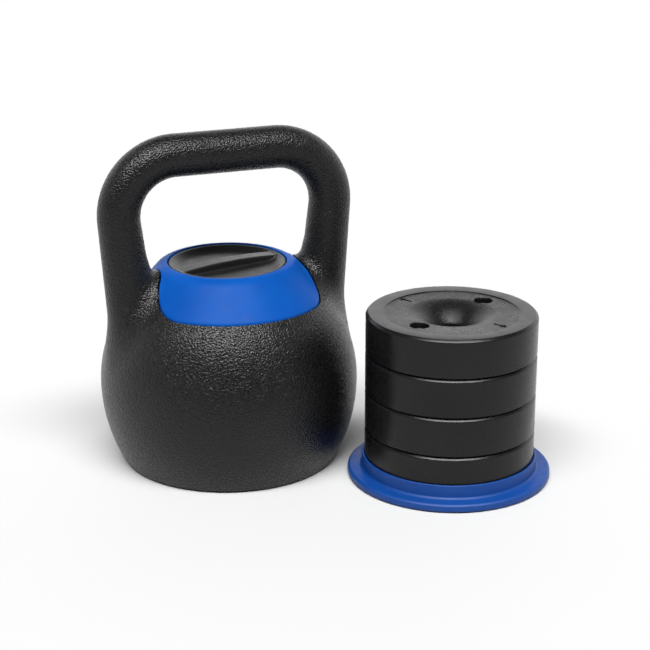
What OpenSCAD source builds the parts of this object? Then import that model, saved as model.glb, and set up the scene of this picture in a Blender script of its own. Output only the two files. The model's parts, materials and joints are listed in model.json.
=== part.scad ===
// Adjustable kettlebell with its weight set taken out and standing beside it.
// Millimetres, +Z up, floor at z = 0, handle of the bell along X.
// Bell: iron casting with handle, top cover, dial and locking spindle.
// Weight set: four iron plates stacked on a collared base with a bayonet hub.

/* [Bell body] */
// Outside radius at the widest section
body_r = 108; // [106:0.5:112]
// Height of the widest section
belly_z = 68; // [66:0.5:72]
// Radius of the outline arc below the widest section
lower_arc_r = 140; // [130:1:160]
// Radius of the outline arc above the widest section
upper_arc_r = 105; // [103:0.5:107]
// Rounding of the foot edge
foot_round_r = 3; // [1:0.5:4]
// Wall left between the outside and the cored hollow
wall_t = 12; // [10:0.5:13]
// Height of the flat deck under the dial
deck_z = 156; // [155:0.5:157]

/* [Hollow] */
// Radius of the straight bore round the plates
bore_r = 73.3; // [73.3:0.1:74]
// Rounding between the bore and its ceiling
bore_round_r = 9; // [8:0.5:9]
// Height of the ceiling
ceiling_z = 142.6; // [142.3:0.1:143]
// Height of the seat lip above its own step
lip_h = 7; // [5:0.5:9]

/* [Handle] */
// Radius of the round bar
grip_r = 17.5; // [16:0.25:18]
// Height of the axis of the top bar
grip_z = 262.5; // [255:0.5:270]
// Bend radius of the two top corners, on the bar's axis
bend_r = 48; // [40:1:52]
// Half length of the straight top bar
grip_half = 42.4; // [38:0.1:42.5]
// Inward lean of the legs going down, degrees
leg_lean = 5.5; // [4.5:0.5:6]
// Length of each leg below its bend
leg_len = 108; // [106:1:109]
// Radius of the widened root of a leg
root_r = 28; // [26:0.5:28]
// Distance of the root's lower centre from the bell axis
root_x = 71; // [70:0.5:72]
// Height of the root's lower centre
root_z = 118; // [117:1:119]
// Radius of a leg at its lower end
leg_low_r = 20.5; // [20:0.1:21]
// Length of the widened root
root_len = 53.6; // [52:0.1:55]
// Outward lean of the root going up, degrees
root_lean = 14; // [12:0.5:15]

/* [Top cover] */
// Height of the flat ring round the dial
cover_top_z = 170; // [169.5:0.1:171]
// Radius of the dial opening
cover_hole_r = 49.6; // [49.4:0.1:50]
// Outer radius of the flat ring
cover_ring_r = 55.5; // [55:0.1:56]
// Radius of the lower edge of the skirt
cover_edge_r = 80.5; // [80:0.1:81]
// Height of the lower edge of the skirt
cover_edge_z = 141; // [140.5:0.1:141.5]
// Thickness of the skirt
cover_t = 3; // [2.5:0.1:3.2]
// Rounding of the ring's outer edge
cover_round_r = 5; // [3:0.5:6]
// Radius of the round notch that leaves each leg free
notch_r = 32.5; // [32:0.5:33.5]
// Distance of the notch's centre from the bell axis
notch_x = 90.5; // [90:0.5:91.5]
// Rounding of the corner between a notch and the lower edge
cover_corner_r = 34; // [32:0.5:35]
// Open line between the cover and the casting
cover_gap = 0.8; // [0.5:0.1:1]
// Distance of the cover screws from the axis
cover_screw_r = 60; // [58:0.5:60]

/* [Dial] */
// Radius of the dial
dial_r = 48.6; // [48:0.1:49]
// Height of the dial's rim
dial_top_z = 169.2; // [168.8:0.1:169.4]
// Height of the dial's underside
dial_base_z = 160.4; // [160.2:0.1:160.6]
// Width of the rim
dial_rim_w = 2.6; // [2:0.1:3.5]
// Depth of the dish below the rim
dial_dish_h = 4.6; // [4:0.1:4.8]
// Width of the grip bar
dial_bar_w = 13; // [11:0.5:15]
// Height of the grip bar's middle above the rim
dial_bar_rise = 1.6; // [0:0.1:2]
// Angle of the grip bar from the handle, degrees
dial_angle = 13; // [0:1:45]

/* [Lock] */
// Radius of the spindle
spindle_r = 6; // [5.6:0.1:6]
// Height of the spindle's lower end
spindle_end_z = 20; // [19:0.5:21]
// Radius of the housing below the deck
housing_r = 19.6; // [18:0.1:19.8]
// Radius of the cross pin
pin_r = 2; // [1.8:0.1:2.1]
// Half length of the cross pin
pin_half = 8.5; // [8:0.1:8.7]
// Height of the cross pin's axis
pin_z = 24.2; // [23.8:0.1:24.2]

/* [Weight plates] */
// Radius of a plate
plate_r = 70; // [69:0.1:70]
// Height taken by one plate in the stack
plate_pitch = 33; // [32:0.1:33]
// Bevel on the top edge
plate_bevel = 2; // [1:0.1:2.5]
// Bevel on the bottom edge
plate_under_bevel = 1.2; // [0.5:0.1:2]
// Radius of the centre hole
plate_hole_r = 13.5; // [13:0.1:14.5]
// Radius of the mouth of the centre funnel
funnel_r = 36.5; // [36:0.1:37]
// Radius of the rounded wall of the funnel
funnel_arc_r = 33.8; // [33:0.2:34.5]
// Radius of the step round the textured ring
step_r = 55.3; // [54:0.1:56.5]
// Depth of that step
step_h = 0.6; // [0.3:0.1:1]
// Distance of the pegs and peg holes from the axis
peg_orbit_r = 42; // [41:0.1:42.5]
// Radius of a peg
peg_r = 7.3; // [6.5:0.1:7.5]
// Radius of a peg hole
peg_hole_r = 7.8; // [7.7:0.1:8]
// Length of a peg below its plate
peg_out = 5.2; // [4:0.1:5.2]
// Depth of a peg hole
peg_hole_h = 7; // [6:0.1:8]
// Length of an engraved arrow
arrow_len = 13; // [10:0.5:14]

/* [Base] */
// Radius of the flange
flange_r = 83.8; // [83:0.1:83.8]
// Height of the flange's top
flange_top_z = 7.3; // [7:0.1:7.4]
// Outer radius of the collar
collar_r = 72.3; // [72:0.1:72.6]
// Height of the collar's top
collar_top_z = 18.8; // [17:0.1:20]
// Height of the tray floor
tray_z = 8.3; // [8:0.1:8.6]
// Thickness of the non-slip pad
pad_t = 1; // [0.8:0.1:1.2]
// Radius of the pad
pad_r = 79.5; // [76:0.5:80]
// Radius of the hub tube
hub_r = 12; // [11.6:0.1:12.2]
// Height of the hub's top
hub_top_z = 32; // [31:0.5:32]

/* [Placing] */
// Weight set position from the bell axis, along the handle
set_dx = 156; // [156:0.1:200]
// Weight set position from the bell axis, towards the front
set_dy = 107.5; // [107:0.1:140]
// Turn of the weight set about its own axis, degrees
set_turn = 28; // [0:0.5:90]

/* [Hidden] */
$fn = 96;
cast_fn = 56;
round_fn = 24;
small_fn = 40;
// clearances
eps = 0.01;
over = 1;
fit_gap = 0.02;
run_gap = 0.05;
rest_gap = 0.3;
// the pair is centred about the origin
bell_x = -(set_dx + flange_r - body_r) / 2;
bell_y = (set_dy + flange_r - body_r) / 2;
set_x = bell_x + set_dx;
set_y = bell_y - set_dy;
// the bends are a hair thinner than the bar and the legs they join, and run into them by an angle
bend_step = 0.05;
bend_lap = 1;
// outline arcs
lower_cx = body_r - lower_arc_r;
upper_cx = body_r - upper_arc_r;
foot_arc_x = lower_cx + sqrt(pow(lower_arc_r, 2) - pow(belly_z - foot_round_r, 2));
// seat for the base flange
recess_r = flange_r + 0.6;
recess_z = flange_top_z + 0.5;
lip_top_z = recess_z + lip_h;
// slope of the cover skirt
skirt_dx = cover_edge_r - cover_ring_r;
skirt_dz = cover_top_z - cover_edge_z;
skirt_l = sqrt(pow(skirt_dx, 2) + pow(skirt_dz, 2));
skirt_nx = skirt_dz / skirt_l;
skirt_nz = skirt_dx / skirt_l;
seat_in = cover_t + rest_gap;
corner_steps = 16;
corner_lap = 0.4;
corner_orbit = cover_edge_r - cover_corner_r;
corner_span = notch_r + cover_corner_r;
corner_x = (pow(corner_orbit, 2) - pow(corner_span, 2) + pow(notch_x, 2)) / (2 * notch_x);
corner_y = sqrt(pow(corner_orbit, 2) - pow(corner_x, 2));
// cover screws and bosses
boss_r = 4.5;
boss_low_z = 150.4;
boss_skin = 1;
screw_r = 2;
screw_head_r = 4;
screw_head_z = 146;
screw_head_h = 2.6;
screw_top_z = 158;
screw_count = 4;
screw_start = 45;
// dial stack
housing_flange_r = 30;
housing_flange_t = 3;
housing_nose_z = 137;
housing_end_z = 131;
housing_end_r = 13;
bush_r = 8.5;
bush_low_z = 131.5;
washer_t = 1;
washer_r = 14;
drive_r = 18;
drive_t = 3;
housing_top_z = deck_z + housing_flange_t;
washer_z = housing_top_z + run_gap;
drive_z = washer_z + washer_t + run_gap;
drive_top_z = drive_z + drive_t;
drive_screw_orbit = 11.5;
drive_screw_r = 1.6;
drive_screw_head_r = 3;
drive_screw_head_h = 1.5;
drive_screw_top_z = 166.5;
dial_round_r = 1.2;
dish_z = dial_top_z - dial_dish_h;
dish_half = dial_r - dial_rim_w;
dish_wall_run = 6.5;
bar_half = dish_half - 0.4;
bar_end_drop = 0.8;
bar_rise_all = dial_bar_rise + bar_end_drop;
bar_arc_r = (pow(bar_half, 2) + pow(bar_rise_all, 2)) / (2 * bar_rise_all);
housing_screw_orbit = 24.5;
housing_screw_count = 3;
housing_screw_start = 90;
housing_screw_len = 10;
clip_t = 1.2;
clip_z = 129.4;
clip_r = 9;
clip_groove = 0.7;
// plates
plate_t = plate_pitch - rest_gap;
funnel_lip_slope = 8;
funnel_cx = funnel_r + funnel_arc_r * sin(funnel_lip_slope);
funnel_cz = plate_t - step_h + run_gap - funnel_arc_r * cos(funnel_lip_slope);
funnel_lap = 2;
arrow_mid_r = 0.69 * plate_r;
arrow_w = 8;
arrow_shaft_w = 2.4;
arrow_head_l = 5;
arrow_h = 1;
peg_in = 9;
peg_screw_r = 2;
peg_screw_head_r = 3.6;
peg_screw_head_h = 3;
peg_screw_end_z = 2.5;
peg_socket_r = 1.8;
peg_socket_h = 1.6;
peg_relief_r = 4.4;
peg_relief_h = 3.8;
peg_count = 2;
// base
tray_inner_r = plate_r + 0.4;
flange_bevel = 1.6;
collar_bevel = 0.5;
peg_pocket_z = 2.6;
hub_flange_r = 22;
hub_flange_t = 3;
hub_floor_z = tray_z - hub_flange_t - 0.1;
hub_room_r = 9.3;
hub_ledge_z = 26.5;
hub_slot_w = 4.8;
hub_bore_r = 6.6;
hub_screw_orbit = 17;
hub_screw_r = 1.5;
hub_screw_head_r = 2.8;
hub_screw_head_h = 1.4;
hub_screw_low_z = 2.4;
hub_screw_count = 3;
hub_screw_start = 30;
arrow_count = 2;
arrow_start = 90;
// colours
iron = [0.10, 0.10, 0.11];
plate_iron = [0.14, 0.14, 0.15];
blue = [0.12, 0.30, 0.72];
black_plastic = [0.07, 0.07, 0.08];
steel = [0.68, 0.69, 0.71];
bronze = [0.72, 0.52, 0.28];
rubber_black = [0.05, 0.05, 0.05];

// ---------- frames ----------

module on_bell() {
    translate([bell_x, bell_y, 0])
        children();
}

module on_dial() {
    on_bell()
        rotate([0, 0, dial_angle])
            children();
}

module on_set() {
    translate([set_x, set_y, 0])
        rotate([0, 0, set_turn])
            children();
}

module ring(count, orbit, start = 0) {
    for (i = [0 : count - 1])
        rotate([0, 0, start + i * 360 / count])
            translate([orbit, 0, 0])
                children();
}

// ---------- bell casting ----------

module below_belly(arc_r, low_z) {
    intersection() {
        translate([lower_cx, belly_z])
            circle(r = arc_r);
        translate([0, low_z])
            square([body_r, belly_z - low_z]);
    }
}

module above_belly(arc_r, high_z) {
    intersection() {
        translate([upper_cx, belly_z])
            circle(r = arc_r);
        translate([0, belly_z])
            square([body_r, high_z - belly_z]);
    }
}

module body_outline() {
    below_belly(lower_arc_r, foot_round_r);
    above_belly(upper_arc_r, cover_edge_z - rest_gap);
    square([foot_arc_x - foot_round_r, foot_round_r]);
    translate([foot_arc_x - foot_round_r, foot_round_r])
        intersection() {
            circle(r = foot_round_r, $fn = round_fn);
            translate([0, -foot_round_r])
                square([foot_round_r, foot_round_r]);
        }
    cover_seat();
}

module cover_seat() {
    deck_r = cover_edge_r - seat_in / skirt_nx - (deck_z - cover_edge_z) * skirt_dx / skirt_dz;
    polygon([
        [0, cover_edge_z - over],
        [cover_edge_r - seat_in / skirt_nx, cover_edge_z - over],
        [cover_edge_r - seat_in / skirt_nx, cover_edge_z],
        [deck_r, deck_z],
        [0, deck_z]
    ]);
}

module hollow_outline() {
    translate([0, -over])
        square([recess_r, recess_z + over]);
    square([bore_r, ceiling_z - bore_round_r]);
    square([bore_r - bore_round_r, ceiling_z]);
    translate([bore_r - bore_round_r, ceiling_z - bore_round_r])
        intersection() {
            circle(r = bore_round_r, $fn = round_fn);
            square([bore_round_r, bore_round_r]);
        }
    below_belly(lower_arc_r - wall_t, lip_top_z);
    above_belly(upper_arc_r - wall_t, ceiling_z - 2 * bore_round_r);
}

module handle_side() {
    bend_z = grip_z - bend_r;
    // bend from the top bar down to the leg
    translate([grip_half, 0, bend_z])
        rotate([90, 0, 0])
            rotate([0, 0, -leg_lean - bend_lap])
                rotate_extrude(angle = 90 + leg_lean + 2 * bend_lap)
                    translate([bend_r, 0])
                        circle(r = grip_r - bend_step, $fn = small_fn);
    // leg
    translate([grip_half + bend_r * cos(leg_lean), 0, bend_z - bend_r * sin(leg_lean)])
        rotate([0, 180 + leg_lean, 0])
            cylinder(h = leg_len, r1 = grip_r, r2 = leg_low_r);
    // widened root
    translate([root_x, 0, root_z])
        rotate([0, root_lean, 0])
            cylinder(h = root_len, r1 = root_r, r2 = grip_r);
}

// Piece cut off outside the rounding between a notch and the cover's lower edge
module cover_corner(grow) {
    centre = [corner_x, corner_y];
    from = atan2(corner_y, corner_x);
    to = atan2(-corner_y, notch_x - corner_x);
    far = 2 * cover_corner_r;
    to_edge = far * [cos(from), sin(from)];
    to_notch = far * [cos(to), sin(to)];
    // the two end points lie outside the outline, so that the cut crosses it
    arc = [for (i = [0 : corner_steps])
        let (r = cover_corner_r + grow + (i == 0 || i == corner_steps ? corner_lap : 0))
        let (angle = from + (to - from) * i / corner_steps)
        centre + r * [cos(angle), sin(angle)]];
    polygon(concat(arc, [centre + to_notch, centre + to_edge + to_notch, centre + to_edge]));
}

// The cover seen from above, grown by a margin: a disc with two rounded notches
module cover_plan(grow = 0) {
    difference() {
        circle(r = cover_edge_r + grow + over);
        for (side = [-1, 1])
            translate([side * notch_x, 0])
                circle(r = notch_r - grow);
        cover_corner(grow);
        mirror([1, 0])
            cover_corner(grow);
        mirror([0, 1])
            cover_corner(grow);
        rotate(180)
            cover_corner(grow);
    }
}

// Shoulder round the cover, with the cover's shape and its open line taken out
module shoulder() {
    difference() {
        rotate_extrude()
            polygon([
                [0, cover_edge_z - over],
                [cover_edge_r - over, cover_edge_z - over],
                [cover_edge_r, cover_edge_z],
                [cover_ring_r, cover_top_z],
                [0, cover_top_z]
            ]);
        translate([0, 0, cover_edge_z - 2 * over])
            linear_extrude(cover_top_z)
                cover_plan(cover_gap);
    }
}

module bell_solid() {
    rotate_extrude()
        body_outline();
    shoulder();
    handle_side();
    mirror([1, 0, 0])
        handle_side();
    translate([0, 0, grip_z])
        rotate([0, 90, 0])
            cylinder(h = 2 * grip_half, r = grip_r, center = true);
}

module bell_casting() {
    $fn = cast_fn;
    color(iron)
        on_bell()
            difference() {
                bell_solid();
                rotate_extrude()
                    hollow_outline();
                // bore for the lock housing
                translate([0, 0, ceiling_z - over])
                    cylinder(h = deck_z - ceiling_z + 2 * over, r = housing_r + fit_gap);
                // bosses and screws of the top cover
                ring(screw_count, cover_screw_r, screw_start) {
                    translate([0, 0, boss_low_z - rest_gap])
                        cylinder(h = deck_z, r = boss_r + rest_gap, $fn = small_fn);
                    translate([0, 0, ceiling_z - over])
                        cylinder(h = deck_z, r = screw_r + rest_gap, $fn = small_fn);
                    translate([0, 0, ceiling_z - 2 * over])
                        cylinder(h = screw_head_z - ceiling_z + 2 * over, r = screw_head_r + rest_gap,
                                 $fn = small_fn);
                }
                // tapped holes for the housing screws
                ring(housing_screw_count, housing_screw_orbit, housing_screw_start)
                    translate([0, 0, housing_top_z - housing_screw_len - rest_gap])
                        cylinder(h = housing_screw_len, r = hub_screw_r + fit_gap, $fn = small_fn);
            }
}

// ---------- top cover ----------

module cover_outline() {
    flank = [skirt_nx * cover_t, skirt_nz * cover_t];
    low_in_x = cover_edge_r - cover_t / skirt_nx;
    difference() {
        polygon([
            [cover_hole_r, cover_top_z - flank[1] * 2 - cover_t],
            [cover_ring_r - flank[0] / 2, cover_top_z - cover_t / skirt_nz + flank[0] / 2],
            [low_in_x, cover_edge_z + rest_gap],
            [cover_edge_r, cover_edge_z + rest_gap],
            [cover_ring_r, cover_top_z],
            [cover_hole_r, cover_top_z]
        ]);
        ring_corner();
    }
}

// Sliver outside the rounding between the flat ring and the skirt
module ring_corner() {
    bend = atan2(skirt_dz, skirt_dx);
    reach = cover_round_r * tan(bend / 2);
    difference() {
        polygon([
            [cover_ring_r - reach, cover_top_z],
            [cover_ring_r, cover_top_z + over],
            [cover_ring_r + over, cover_top_z],
            [cover_ring_r + reach * skirt_dx / skirt_l, cover_top_z - reach * skirt_dz / skirt_l]
        ]);
        translate([cover_ring_r - reach, cover_top_z - cover_round_r])
            circle(r = cover_round_r);
    }
}

// Screw bosses, cut off below the skirt's outer face
module cover_bosses() {
    intersection() {
        ring(screw_count, cover_screw_r, screw_start)
            translate([0, 0, boss_low_z])
                cylinder(h = cover_top_z - boss_low_z, r = boss_r, $fn = small_fn);
        rotate_extrude()
            polygon([
                [cover_hole_r, cover_edge_z],
                [cover_edge_r - boss_skin / skirt_nx, cover_edge_z],
                [cover_ring_r, cover_top_z - boss_skin / skirt_nz],
                [cover_hole_r, cover_top_z - boss_skin / skirt_nz]
            ]);
    }
}

module top_cover() {
    color(blue)
        on_bell()
            difference() {
                intersection() {
                    union() {
                        rotate_extrude()
                            cover_outline();
                        cover_bosses();
                    }
                    translate([0, 0, cover_edge_z - over])
                        linear_extrude(cover_top_z)
                            cover_plan();
                }
                ring(screw_count, cover_screw_r, screw_start)
                    translate([0, 0, boss_low_z - over])
                        cylinder(h = screw_top_z + over - boss_low_z, r = screw_r + fit_gap,
                                 $fn = small_fn);
            }
}

module cover_screws() {
    color(steel)
        on_bell()
            ring(screw_count, cover_screw_r, screw_start) {
                translate([0, 0, screw_head_z - screw_head_h])
                    cylinder(h = screw_head_h, r = screw_head_r, $fn = small_fn);
                translate([0, 0, screw_head_z - over])
                    cylinder(h = screw_top_z - screw_head_z, r = screw_r, $fn = small_fn);
            }
}

// ---------- lock housing ----------

module lock_housing() {
    color(black_plastic)
        on_bell()
            difference() {
                union() {
                    translate([0, 0, deck_z])
                        cylinder(h = housing_flange_t, r = housing_flange_r);
                    translate([0, 0, housing_nose_z])
                        cylinder(h = deck_z - housing_nose_z + eps, r = housing_r);
                    translate([0, 0, housing_end_z])
                        cylinder(h = housing_nose_z - housing_end_z + eps, r1 = housing_end_r,
                                 r2 = housing_r);
                }
                translate([0, 0, bush_low_z])
                    cylinder(h = deck_z, r = bush_r + fit_gap);
                translate([0, 0, housing_end_z - over])
                    cylinder(h = deck_z, r = spindle_r + rest_gap);
                ring(housing_screw_count, housing_screw_orbit, housing_screw_start) {
                    translate([0, 0, deck_z - over])
                        cylinder(h = housing_flange_t + 2 * over, r = hub_screw_r + fit_gap,
                                 $fn = small_fn);
                    translate([0, 0, housing_top_z - hub_screw_head_h - eps])
                        cylinder(h = hub_screw_head_h + over, r = hub_screw_head_r + fit_gap,
                                 $fn = small_fn);
                }
            }
}

module housing_screws() {
    color(steel)
        on_bell()
            ring(housing_screw_count, housing_screw_orbit, housing_screw_start) {
                translate([0, 0, housing_top_z - hub_screw_head_h])
                    cylinder(h = hub_screw_head_h, r = hub_screw_head_r, $fn = small_fn);
                translate([0, 0, housing_top_z - housing_screw_len])
                    cylinder(h = housing_screw_len, r = hub_screw_r, $fn = small_fn);
            }
}

module spindle_bush() {
    color(bronze)
        on_bell()
            translate([0, 0, bush_low_z])
                difference() {
                    cylinder(h = housing_top_z - bush_low_z, r = bush_r);
                    translate([0, 0, -over])
                        cylinder(h = deck_z, r = spindle_r + run_gap);
                }
}

// ---------- dial and spindle ----------

module dial_outline() {
    difference() {
        union() {
            translate([0, dial_base_z])
                square([dial_r - dial_round_r, dial_top_z - dial_base_z]);
            translate([0, dial_base_z])
                square([dial_r, dial_top_z - dial_base_z - dial_round_r]);
            translate([dial_r - dial_round_r, dial_top_z - dial_round_r])
                circle(r = dial_round_r, $fn = small_fn);
        }
        // dish with a flat floor and a wall sloping up to the rim
        polygon([
            [0, dish_z],
            [dish_half - dish_wall_run, dish_z],
            [dish_half, dial_top_z],
            [dish_half, dial_top_z + over],
            [0, dial_top_z + over]
        ]);
        // room for the drive plate
        translate([0, dial_base_z - over])
            square([drive_r + fit_gap, drive_top_z + fit_gap - dial_base_z + over]);
    }
}

module dial_bar() {
    bar_top_z = dial_top_z + dial_bar_rise;
    intersection() {
        translate([-bar_half, -dial_bar_w / 2, drive_top_z + fit_gap])
            cube([2 * bar_half, dial_bar_w, bar_top_z - drive_top_z + over]);
        translate([0, 0, bar_top_z - bar_arc_r])
            rotate([90, 0, 0])
                cylinder(h = 2 * dial_bar_w, r = bar_arc_r, center = true, $fn = 8 * $fn);
        cylinder(h = cover_top_z + bar_half, r = bar_half);
    }
}

module dial_screw_row(orbit) {
    for (side = [-1, 1])
        translate([side * orbit, 0, 0])
            children();
}

module dial() {
    color(black_plastic)
        on_dial()
            difference() {
                union() {
                    rotate_extrude()
                        dial_outline();
                    dial_bar();
                }
                dial_screw_row(drive_screw_orbit)
                    translate([0, 0, drive_z])
                        cylinder(h = drive_screw_top_z + rest_gap - drive_z, r = drive_screw_r + fit_gap,
                                 $fn = small_fn);
            }
}

module dial_drive_plate() {
    color(steel)
        on_dial()
            difference() {
                translate([0, 0, drive_z])
                    cylinder(h = drive_t, r = drive_r);
                translate([0, 0, drive_z - over])
                    cylinder(h = drive_t + 2 * over, r = spindle_r + fit_gap);
                dial_screw_row(drive_screw_orbit) {
                    translate([0, 0, drive_z - over])
                        cylinder(h = drive_t + 2 * over, r = drive_screw_r + fit_gap, $fn = small_fn);
                    translate([0, 0, drive_z - over])
                        cylinder(h = drive_screw_head_h + over, r = drive_screw_head_r + fit_gap,
                                 $fn = small_fn);
                }
            }
}

module dial_screws() {
    color(steel)
        on_dial()
            dial_screw_row(drive_screw_orbit) {
                translate([0, 0, drive_z])
                    cylinder(h = drive_screw_head_h, r = drive_screw_head_r, $fn = small_fn);
                translate([0, 0, drive_z])
                    cylinder(h = drive_screw_top_z - drive_z, r = drive_screw_r, $fn = small_fn);
            }
}

module thrust_washer() {
    color(bronze)
        on_bell()
            translate([0, 0, washer_z])
                difference() {
                    cylinder(h = washer_t, r = washer_r);
                    translate([0, 0, -over])
                        cylinder(h = washer_t + 2 * over, r = spindle_r + run_gap);
                }
}

module spindle() {
    color(steel)
        on_dial()
            difference() {
                translate([0, 0, spindle_end_z])
                    cylinder(h = drive_top_z - spindle_end_z, r = spindle_r);
                // groove for the retaining clip
                translate([0, 0, clip_z])
                    difference() {
                        cylinder(h = clip_t, r = spindle_r + over);
                        translate([0, 0, -over])
                            cylinder(h = clip_t + 2 * over, r = spindle_r - clip_groove);
                    }
                // cross hole for the locking pin
                translate([0, 0, pin_z])
                    rotate([0, 90, 0])
                        cylinder(h = 4 * spindle_r, r = pin_r + fit_gap, center = true, $fn = small_fn);
            }
}

module spindle_clip() {
    clip_open = 6;
    color(steel)
        on_dial()
            translate([0, 0, clip_z + fit_gap])
                difference() {
                    cylinder(h = clip_t - 2 * fit_gap, r = clip_r);
                    translate([0, 0, -over])
                        cylinder(h = clip_t + 2 * over, r = spindle_r - clip_groove + fit_gap);
                    translate([0, -clip_open / 2, -over])
                        cube([2 * clip_r, clip_open, clip_t + 2 * over]);
                }
}

module cross_pin() {
    color(steel)
        on_dial()
            translate([0, 0, pin_z])
                rotate([0, 90, 0])
                    cylinder(h = 2 * pin_half, r = pin_r, center = true, $fn = small_fn);
}

// ---------- base ----------

module tray_outline() {
    difference() {
        union() {
            polygon([
                [0, pad_t],
                [flange_r - flange_bevel / 2, pad_t],
                [flange_r, pad_t + flange_bevel / 2],
                [flange_r, flange_top_z - flange_bevel],
                [flange_r - flange_bevel, flange_top_z],
                [0, flange_top_z]
            ]);
            polygon([
                [0, flange_top_z - over],
                [collar_r, flange_top_z - over],
                [collar_r, collar_top_z - collar_bevel],
                [collar_r - collar_bevel, collar_top_z],
                [0, collar_top_z]
            ]);
        }
        translate([0, tray_z])
            square([tray_inner_r, collar_top_z]);
        // pocket for the hub flange
        translate([0, hub_floor_z])
            square([hub_flange_r + fit_gap, tray_z]);
    }
}

module base_tray() {
    color(blue)
        on_set()
            difference() {
                rotate_extrude()
                    tray_outline();
                ring(peg_count, peg_orbit_r)
                    translate([0, 0, peg_pocket_z])
                        cylinder(h = tray_z, r = peg_hole_r, $fn = small_fn);
                ring(hub_screw_count, hub_screw_orbit, hub_screw_start)
                    translate([0, 0, hub_screw_low_z - rest_gap])
                        cylinder(h = tray_z, r = hub_screw_r + fit_gap, $fn = small_fn);
            }
}

module base_pad() {
    color(rubber_black)
        on_set()
            cylinder(h = pad_t, r = pad_r);
}

module hub_socket() {
    color(steel)
        on_set()
            difference() {
                union() {
                    translate([0, 0, hub_floor_z])
                        cylinder(h = hub_flange_t, r = hub_flange_r);
                    translate([0, 0, hub_floor_z])
                        cylinder(h = hub_top_z - hub_floor_z, r = hub_r);
                }
                // room in which the cross pin turns
                translate([0, 0, hub_floor_z + hub_flange_t])
                    cylinder(h = hub_ledge_z - hub_floor_z - hub_flange_t, r = hub_room_r);
                // keyhole
                translate([0, 0, hub_ledge_z - over])
                    cylinder(h = hub_top_z, r = hub_bore_r, $fn = small_fn);
                translate([-hub_room_r, -hub_slot_w / 2, hub_ledge_z - over])
                    cube([2 * hub_room_r, hub_slot_w, hub_top_z]);
                ring(hub_screw_count, hub_screw_orbit, hub_screw_start) {
                    translate([0, 0, hub_floor_z - over])
                        cylinder(h = hub_flange_t + 2 * over, r = hub_screw_r + fit_gap, $fn = small_fn);
                    translate([0, 0, hub_floor_z + hub_flange_t - hub_screw_head_h - eps])
                        cylinder(h = hub_screw_head_h + over, r = hub_screw_head_r + fit_gap,
                                 $fn = small_fn);
                }
            }
}

module hub_screws() {
    color(steel)
        on_set()
            ring(hub_screw_count, hub_screw_orbit, hub_screw_start) {
                translate([0, 0, hub_floor_z + hub_flange_t - hub_screw_head_h])
                    cylinder(h = hub_screw_head_h, r = hub_screw_head_r, $fn = small_fn);
                translate([0, 0, hub_screw_low_z])
                    cylinder(h = hub_floor_z + hub_flange_t - hub_screw_low_z, r = hub_screw_r,
                             $fn = small_fn);
            }
}

// ---------- weight plates, counted from the bottom ----------

module plate_outline() {
    difference() {
        union() {
            translate([funnel_r, 0])
                square([plate_r - funnel_r, plate_t]);
            intersection() {
                translate([funnel_cx, funnel_cz])
                    circle(r = funnel_arc_r);
                translate([plate_hole_r, 0])
                    square([funnel_r - plate_hole_r + funnel_lap, plate_t]);
            }
        }
        // shallow textured ring
        translate([funnel_r - funnel_lap, plate_t - step_h])
            square([step_r - funnel_r + funnel_lap, step_h + over]);
        polygon([
            [plate_r - plate_bevel, plate_t],
            [plate_r + over, plate_t - plate_bevel - over],
            [plate_r + over, plate_t + over],
            [plate_r - plate_bevel, plate_t + over]
        ]);
        polygon([
            [plate_r - plate_under_bevel, 0],
            [plate_r - plate_under_bevel, -over],
            [plate_r + over, -over],
            [plate_r + over, plate_under_bevel + over]
        ]);
    }
}

module arrow() {
    tip = arrow_len / 2;
    polygon([
        [tip, 0],
        [tip - arrow_head_l, arrow_w / 2],
        [tip - arrow_head_l, arrow_shaft_w / 2],
        [-tip, arrow_shaft_w / 2],
        [-tip, -arrow_shaft_w / 2],
        [tip - arrow_head_l, -arrow_shaft_w / 2],
        [tip - arrow_head_l, -arrow_w / 2]
    ]);
}

module weight_plate(level) {
    color(plate_iron)
        on_set()
            translate([0, 0, tray_z + rest_gap + (level - 1) * plate_pitch])
                difference() {
                    rotate_extrude()
                        plate_outline();
                    // holes that take the pegs of the plate above
                    ring(peg_count, peg_orbit_r)
                        translate([0, 0, plate_t - peg_hole_h])
                            cylinder(h = peg_hole_h + over, r = peg_hole_r, $fn = small_fn);
                    // holes the plate's own pegs are pressed into
                    ring(peg_count, peg_orbit_r)
                        translate([0, 0, -over])
                            cylinder(h = peg_in + over, r = peg_r + fit_gap, $fn = small_fn);
                    // holes for the screws that hold the pegs
                    ring(peg_count, peg_orbit_r)
                        cylinder(h = plate_t, r = peg_screw_r + fit_gap, $fn = small_fn);
                    ring(arrow_count, arrow_mid_r, arrow_start)
                        translate([0, 0, plate_t - step_h - arrow_h])
                            linear_extrude(height = step_h + arrow_h + over)
                                arrow();
                }
}

module plate_pegs(level) {
    color(steel)
        on_set()
            translate([0, 0, tray_z + rest_gap + (level - 1) * plate_pitch])
                ring(peg_count, peg_orbit_r)
                    difference() {
                        translate([0, 0, -peg_out])
                            cylinder(h = peg_out + peg_in - rest_gap, r = peg_r, $fn = small_fn);
                        // relief that clears the screw head of the plate below
                        translate([0, 0, -peg_out - over])
                            cylinder(h = peg_relief_h + over, r = peg_relief_r, $fn = small_fn);
                        // tapped hole
                        cylinder(h = peg_in + over, r = peg_screw_r + fit_gap, $fn = small_fn);
                    }
}

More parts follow.
